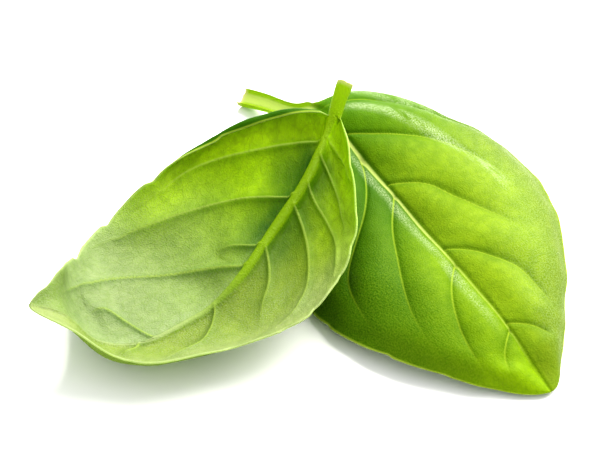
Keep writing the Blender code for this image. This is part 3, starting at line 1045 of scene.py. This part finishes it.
def cut_material():
    """The petiole's cut end: pale wet pith with darker strands round it."""
    n = Nodes("basil_cut_end")
    strands = n.noise(n.scaled(n.attribute("leaf_place"), *STRAND_STRETCH), *STRAND_NOISE)
    skin = n.add("BsdfPrincipled", {
        "Base Color": n.mix(n.fade(strands, 0.62, 0.4), STRAND_COLOUR, PITH_COLOUR),
        "Roughness": n.plus(0.3, n.times(strands, 0.3)),
        "Normal": n.bump(strands, 0.1 * MM),
    })
    n.surface(skin)
    return n.material


STRAND_STRETCH = (0.2, 6, 0)
STRAND_NOISE = (1.0, 3.0, 0.55)
STRAND_COLOUR = (0.35, 0.48, 0.05)
PITH_COLOUR = (0.62, 0.70, 0.25)
DRY_RIM_COLOUR = (0.66, 0.62, 0.28)
# In both looks, deep_colour serves painted shade as well as random darker mottles, through_colour also paints
# a glow of light shining through, and the pale streak colour is painted sheen.
UPPER_LOOK = {
    "base_colour": (0.085, 0.19, 0.001), "tip_colour": (0.17, 0.29, 0.001),
    "last_colour": (0.24, 0.40, 0.001), "deep_colour": (0.024, 0.10, 0.001),
    "left_colour": (0.24, 0.36, 0.010), "outer_colour": (0.15, 0.21, 0.010),
    "near_base_colour": (0.085, 0.20, 0.001),
    "speck_colour": (0.24, 0.36, 0.02), "net_colour": (0.06, 0.16, 0.002), "vein_colour": (0.34, 0.46, 0.03),
    "midrib_colour": (0.50, 0.58, 0.16), "midrib_tip_colour": (0.34, 0.46, 0.06),
    "rim_colour": (0.38, 0.50, 0.05), "petiole_colour": (0.30, 0.46, 0.01),
    "groove_colour": (0.55, 0.66, 0.16), "sheen_colour": (0.42, 0.51, 0.28),
    "beside_midrib": (0.05, 0.60), "dark_until": (0.38, 0.62), "dark_outward": 0.85,
    "glow": 0.0, "dark_patch": 0.0, "sheen": 0.85, "sheen_towards_tip": False,
    "grain": 0.35, "net": 0.12, "halo": 0.35, "vein": 0.60, "midrib": 0.80,
    "vein_core": 0.03, "vein_edge": 0.18, "midrib_core": 0.05, "midrib_edge": 0.25,
    "net_relief": -0.05, "relief": 0.15, "roughness": 0.42, "specular": 0.04,
    "through": 0.26, "through_colour": (0.54, 0.74, 0.002), "through_own": 0.92, "rim": 0.8,
    "gloss_colour": (0.85, 1.0, 0.5),
}
UNDER_LOOK = {
    "base_colour": (0.38, 0.61, 0.001), "tip_colour": (0.40, 0.50, 0.22), "last_colour": (0.30, 0.38, 0.12),
    "deep_colour": (0.03, 0.13, 0.001),
    "left_colour": (0.31, 0.40, 0.03), "outer_colour": (0.46, 0.52, 0.20),
    "near_base_colour": (0.64, 1.0, 0.001),
    "speck_colour": (0.46, 0.52, 0.28), "net_colour": (0.22, 0.34, 0.01), "vein_colour": (0.50, 0.64, 0.12),
    "midrib_colour": (0.28, 0.44, 0.001), "midrib_tip_colour": (0.46, 0.54, 0.24),
    "rim_colour": (0.58, 0.64, 0.34), "petiole_colour": (0.34, 0.52, 0.001),
    "groove_colour": (0.34, 0.52, 0.001), "sheen_colour": (0.52, 0.58, 0.40),
    "beside_midrib": (0.75, 1.0), "dark_until": (0.32, 0.48), "dark_outward": 0.0,
    "glow": 0.75, "dark_patch": 0.6, "sheen": 0.45, "sheen_towards_tip": True,
    "grain": 0.45, "net": 0.18, "halo": 0.30, "vein": 0.62, "midrib": 0.85,
    "vein_core": 0.04, "vein_edge": 0.20, "midrib_core": 0.7, "midrib_edge": 1.0,
    "net_relief": 0.10, "relief": 0.20, "roughness": 0.44, "specular": 0.18,
    "through": 0.52, "through_colour": (0.68, 1.0, 0.002), "through_own": 0.65, "rim": 0.5,
    "gloss_colour": (0.95, 1.0, 0.8),
}


# ---- Stage ----
CAMERA_TARGET = Vector((-0.8, -2.9, 5.0)) * MM
CAMERA_DISTANCE = 319 * MM
CAMERA_ELEVATION = math.radians(40)
CAMERA_LENS = 145
FLOOR_SIZE = 3.0
FLOOR_GAP = 0.02 * MM
BOARD_COLOUR = (0.93, 0.93, 0.93, 1)
BOARD_ROUGHNESS = 0.22
SURROUND_STRENGTH = 1.05
LAMP_PLACE = (0.46, 0.68, 0.78)
LAMP_SIZE = (1.4, 1.0)
LAMP_POWER = 42
LAMP_COLOUR = (1.0, 0.98, 0.93)


def add_camera():
    data = bpy.data.cameras.new("camera")
    data.lens = CAMERA_LENS
    data.sensor_width = 36
    data.clip_start = 0.01
    data.clip_end = 20
    camera = linked("camera", data)
    back = Vector((0, -math.cos(CAMERA_ELEVATION), math.sin(CAMERA_ELEVATION)))
    camera.location = CAMERA_TARGET + back * CAMERA_DISTANCE
    camera.rotation_euler = (-back).to_track_quat("-Z", "Y").to_euler()
    bpy.context.scene.camera = camera


def add_floor():
    bpy.ops.mesh.primitive_plane_add(size=FLOOR_SIZE, location=(0, 0, -FLOOR_GAP))
    floor = bpy.context.object
    floor.name = "floor"
    material = bpy.data.materials.new("pale_glossy_board")
    material.use_nodes = True
    shader = material.node_tree.nodes["Principled BSDF"]
    shader.inputs["Base Color"].default_value = BOARD_COLOUR
    shader.inputs["Roughness"].default_value = BOARD_ROUGHNESS
    floor.data.materials.append(material)


def add_lamp():
    """A soft lamp behind the bunch, which faces it."""
    data = bpy.data.lights.new("back_softbox", "AREA")
    data.shape = "RECTANGLE"
    data.size, data.size_y = LAMP_SIZE
    data.energy = LAMP_POWER
    data.color = LAMP_COLOUR
    lamp = linked("back_softbox", data)
    lamp.location = LAMP_PLACE
    lamp.rotation_euler = Vector(LAMP_PLACE).to_track_quat("Z", "Y").to_euler()


def add_surround():
    """An even white surround, and how the picture is shown."""
    world = bpy.data.worlds.new("world")
    world.use_nodes = True
    background = world.node_tree.nodes["Background"]
    background.inputs["Color"].default_value = (1, 1, 1, 1)
    background.inputs["Strength"].default_value = SURROUND_STRENGTH
    bpy.context.scene.world = world
    bpy.context.scene.view_settings.view_transform = "Standard"
    bpy.context.scene.view_settings.look = "Medium High Contrast"


# ---- The bunch ----
SEEDS = (11, 18)

under = leaf_material("basil_underside", UNDER_LOOK)
upper = leaf_material("basil_upper_face", UPPER_LOOK)
cut = cut_material()
for leaf, seed in zip((UNDERSIDE_UP_LEAF, UPPER_SIDE_UP_LEAF), SEEDS):
    piece = leaf_mesh(leaf, (upper, under, cut), seed)
    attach(piece, "root")
    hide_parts(leaf["node"])
add_floor()
add_lamp()
add_surround()
add_camera()
